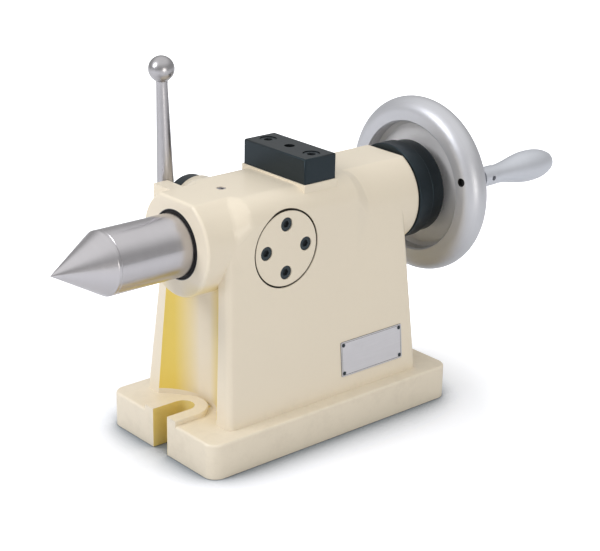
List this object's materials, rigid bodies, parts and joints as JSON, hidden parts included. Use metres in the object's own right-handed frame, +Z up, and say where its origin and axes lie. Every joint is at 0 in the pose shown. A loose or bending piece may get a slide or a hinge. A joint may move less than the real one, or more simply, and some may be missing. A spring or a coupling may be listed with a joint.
{
  "type": "machine tool tailstock",
  "caption": "Manual tailstock: slotted cast base, sliding quill with a pointed centre, clamp lever on the far side, and a dished handwheel with a crank handle.",
  "frame": {"origin": "on the base's bottom face, in the middle of its length and width, below the quill axis and on the line of the guide slot", "axes": "+X along the quill axis from the point to the handwheel, +Y to the clamp lever's side, +Z up"},
  "size_m": [0.5561, 0.181, 0.3618],
  "materials": {
    "cream_paint": "satin",
    "bright_steel": "ground",
    "black_steel": "black oxide",
    "black_rubber": "matte",
    "wheel_aluminium": "cast and turned",
    "handle_grey": "turned",
    "plate_silver": "satin",
    "bronze": "turned"
  },
  "bodies": {
    "base": {"body_casting": "cream_paint", "quill_wiper": "black_rubber", "side_cap": "cream_paint", "side_cap_screws": "black_steel", "guide_key": "bright_steel", "guide_key_screw": "black_steel", "top_block": "black_steel", "top_block_screws": "black_steel", "oil_plug": "bright_steel", "nameplate": "plate_silver", "nameplate_rivets": "bright_steel", "rear_flange": "black_steel", "rear_flange_screws": "black_steel", "thrust_bearing_front": "bright_steel", "thrust_bearing_rear": "bright_steel", "bearing_retainer": "bright_steel", "clamp_shoe": "bronze"},
    "quill_group": {"quill": "bright_steel", "centre": "bright_steel", "feed_nut": "bronze", "feed_nut_screws": "black_steel"},
    "wheel_group": {"feed_screw": "bright_steel", "feed_dial": "black_steel", "dial_set_screw": "black_steel", "handwheel": "wheel_aluminium", "wheel_key": "bright_steel", "wheel_washer": "bright_steel", "wheel_nut": "bright_steel", "handle_stud": "handle_grey", "handle_end_screw": "black_steel"},
    "grip": {"handle_grip": "handle_grey"},
    "clamp": {"clamp_spindle": "bright_steel", "clamp_hub": "black_steel", "hub_set_screw": "black_steel", "clamp_lever": "bright_steel"}
  },
  "joints": [
    {"name": "wheel_turn", "type": "hinge", "parent": "base", "child": "wheel_group", "pos_m": [0.18, 0, 0.203], "axis": [-1, 0, 0], "range_deg": [-4320, 2160]},
    {"name": "quill_slide", "type": "slide", "parent": "base", "child": "quill_group", "axis": [-1, 0, 0], "range_m": [-0.0602, 0.0302]},
    {"name": "grip_turn", "type": "hinge", "parent": "wheel_group", "child": "grip", "pos_m": [0.25, -0.07306, 0.22395], "axis": [1, 0, 0], "continuous": true},
    {"name": "clamp_turn", "type": "hinge", "parent": "base", "child": "clamp", "pos_m": [-0.0665, 0.06, 0.212], "axis": [0, 1, 0], "range_deg": [-30, 60]}
  ],
  "couplings": [
    {"joint": "quill_slide", "follows": "wheel_turn", "m_per_rad": 0.00079577}
  ]
}
